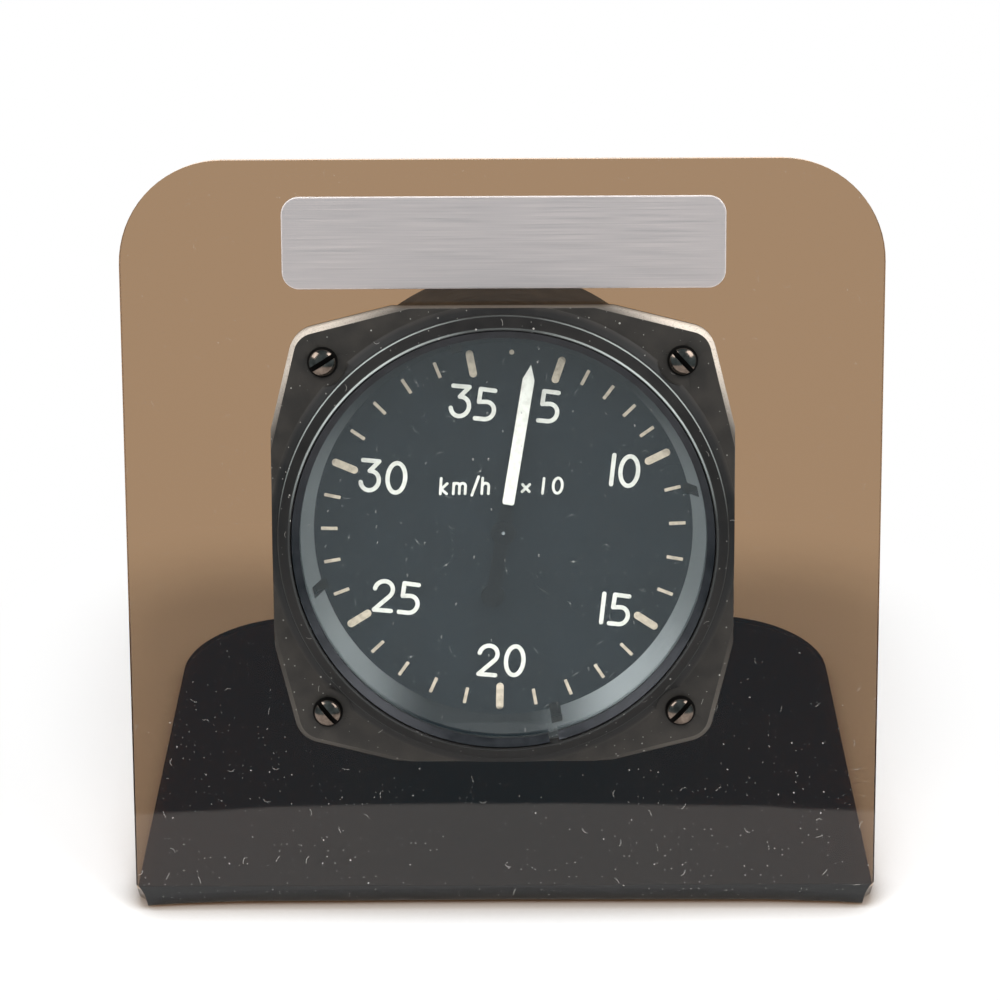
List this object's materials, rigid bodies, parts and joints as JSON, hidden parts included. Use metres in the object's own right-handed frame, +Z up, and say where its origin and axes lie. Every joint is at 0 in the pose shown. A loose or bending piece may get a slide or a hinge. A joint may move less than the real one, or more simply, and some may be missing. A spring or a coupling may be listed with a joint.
{
  "type": "airspeed indicator on display stand",
  "caption": "Round aircraft airspeed indicator with a square-eared flange, screwed to a bent smoked acrylic display stand with a blank nameplate.",
  "frame": {"origin": "on the table under the stand's base, on its centre line, 60 mm behind the sharp corner of the fold at the base's front", "axes": "+X to the viewer's right, +Y away from the viewer towards the base's rear edge, +Z up"},
  "size_m": [0.14, 0.1243, 0.1377],
  "materials": {
    "display_stand": "smoke-brown transparent acrylic, polished",
    "nameplate": "brushed, silver with a warm tinge",
    "nameplate_pad": "adhesive foam",
    "case_body": "black moulded phenolic, satin, worn at the edges",
    "cover_glass": "clear, flat",
    "glass_gasket": "black rubber",
    "glass_retainer": "satin black",
    "cone_ring": "grey anodised, satin",
    "dial": "matt blue-black",
    "scale_marks": "matt warm white paint",
    "numerals": "matt white paint",
    "unit_legend": "matt white paint",
    "pointer": "matt black",
    "pointer_paint": "matt white paint",
    "pointer_hub": "satin black",
    "pointer_arbor": "polished steel",
    "pinion": "cut steel",
    "hairspring": "bronze strip",
    "hairspring_collet": "turned brass",
    "hairspring_stud": "brass",
    "front_plate": "satin",
    "rear_plate": "satin",
    "frame_pillars": "turned brass",
    "ledge_screws": "steel",
    "front_pillar_screws": "steel",
    "rear_pillar_screws": "steel",
    "sector_gear": "cut brass",
    "sector_weight": "turned brass",
    "sector_arbor": "polished steel",
    "sector_tail": "steel",
    "shaft_bearings": "brass",
    "rocking_shaft": "polished steel",
    "link_arm": "brass",
    "drive_arm": "steel",
    "link_rod": "steel strip",
    "capsule_front": "beryllium bronze, satin",
    "capsule_rear": "beryllium bronze, satin",
    "capsule_stem": "turned brass",
    "capsule_post": "turned brass",
    "capsule_bridge": "satin",
    "post_nut": "hexagon nut",
    "bridge_pillars": "turned brass",
    "bridge_screws": "steel",
    "pitot_port": "turned brass",
    "static_port": "turned brass",
    "port_seals": "black rubber",
    "port_nuts": "brass",
    "capillary_tube": "soft copper tube",
    "mounting_screws": "blackened steel, glossy",
    "mounting_washers": "steel",
    "mounting_nuts": "steel"
  },
  "bodies": {
    "case": {"display_stand": "display_stand", "nameplate": "nameplate", "nameplate_pad": "nameplate_pad", "case_body": "case_body", "cover_glass": "cover_glass", "glass_gasket": "glass_gasket", "glass_retainer": "glass_retainer", "cone_ring": "cone_ring", "dial": "dial", "scale_marks": "scale_marks", "numerals": "numerals", "unit_legend": "unit_legend", "hairspring": "hairspring", "hairspring_stud": "hairspring_stud", "front_plate": "front_plate", "rear_plate": "rear_plate", "frame_pillars": "frame_pillars", "ledge_screws": "ledge_screws", "front_pillar_screws": "front_pillar_screws", "rear_pillar_screws": "rear_pillar_screws", "shaft_bearings": "shaft_bearings", "capsule_rear": "capsule_rear", "capsule_post": "capsule_post", "capsule_bridge": "capsule_bridge", "post_nut": "post_nut", "bridge_pillars": "bridge_pillars", "bridge_screws": "bridge_screws", "pitot_port": "pitot_port", "static_port": "static_port", "port_seals": "port_seals", "port_nuts": "port_nuts", "capillary_tube": "capillary_tube", "mounting_screws": "mounting_screws", "mounting_washers": "mounting_washers", "mounting_nuts": "mounting_nuts"},
    "sector": {"sector_gear": "sector_gear", "sector_weight": "sector_weight", "sector_arbor": "sector_arbor", "sector_tail": "sector_tail"},
    "pointer": {"pointer": "pointer", "pointer_paint": "pointer_paint", "pointer_hub": "pointer_hub", "pointer_arbor": "pointer_arbor", "pinion": "pinion", "hairspring_collet": "hairspring_collet"},
    "rocker": {"rocking_shaft": "rocking_shaft", "link_arm": "link_arm", "drive_arm": "drive_arm"},
    "link": {"link_rod": "link_rod"},
    "capsule": {"capsule_stem": "capsule_stem", "capsule_front": "capsule_front"}
  },
  "joints": [
    {"name": "sector_turn", "type": "hinge", "parent": "case", "child": "sector", "pos_m": [0.02138, -0.03366, 0.05936], "axis": [0, -0.9695, 0.245], "range_deg": [-0.62, 32.1], "stiffness_Nm_per_rad": 0.03},
    {"name": "pointer_turn", "type": "hinge", "parent": "case", "child": "pointer", "pos_m": [0, -0.03242, 0.06833], "axis": [0, -0.9695, 0.245], "range_deg": [-340.4, 6.7], "stiffness_Nm_per_rad": 0.0002, "deforming": ["hairspring"]},
    {"name": "rocker_turn", "type": "hinge", "parent": "case", "child": "rocker", "pos_m": [0.007, -0.01789, 0.05646], "axis": [1, 0, 0], "range_deg": [-0.3, 14.95]},
    {"name": "link_turn", "type": "hinge", "parent": "rocker", "child": "link", "pos_m": [0.0016, -0.01497, 0.06385], "axis": [1, 0, 0], "range_deg": [-14.95, 0.3]},
    {"name": "capsule_slide", "type": "slide", "parent": "case", "child": "capsule", "axis": [0, -0.9695, 0.245], "range_m": [-0.00004, 0.00206], "deforming": ["capsule_front"]}
  ],
  "couplings": [
    {"joint": "pointer_turn", "follows": "sector_turn", "ratio": -10.6},
    {"joint": "rocker_turn", "follows": "sector_turn", "ratio": 0.46532},
    {"joint": "link_turn", "follows": "sector_turn", "ratio": -0.46532},
    {"joint": "capsule_slide", "follows": "sector_turn", "m_per_rad": 0.0036838}
  ]
}
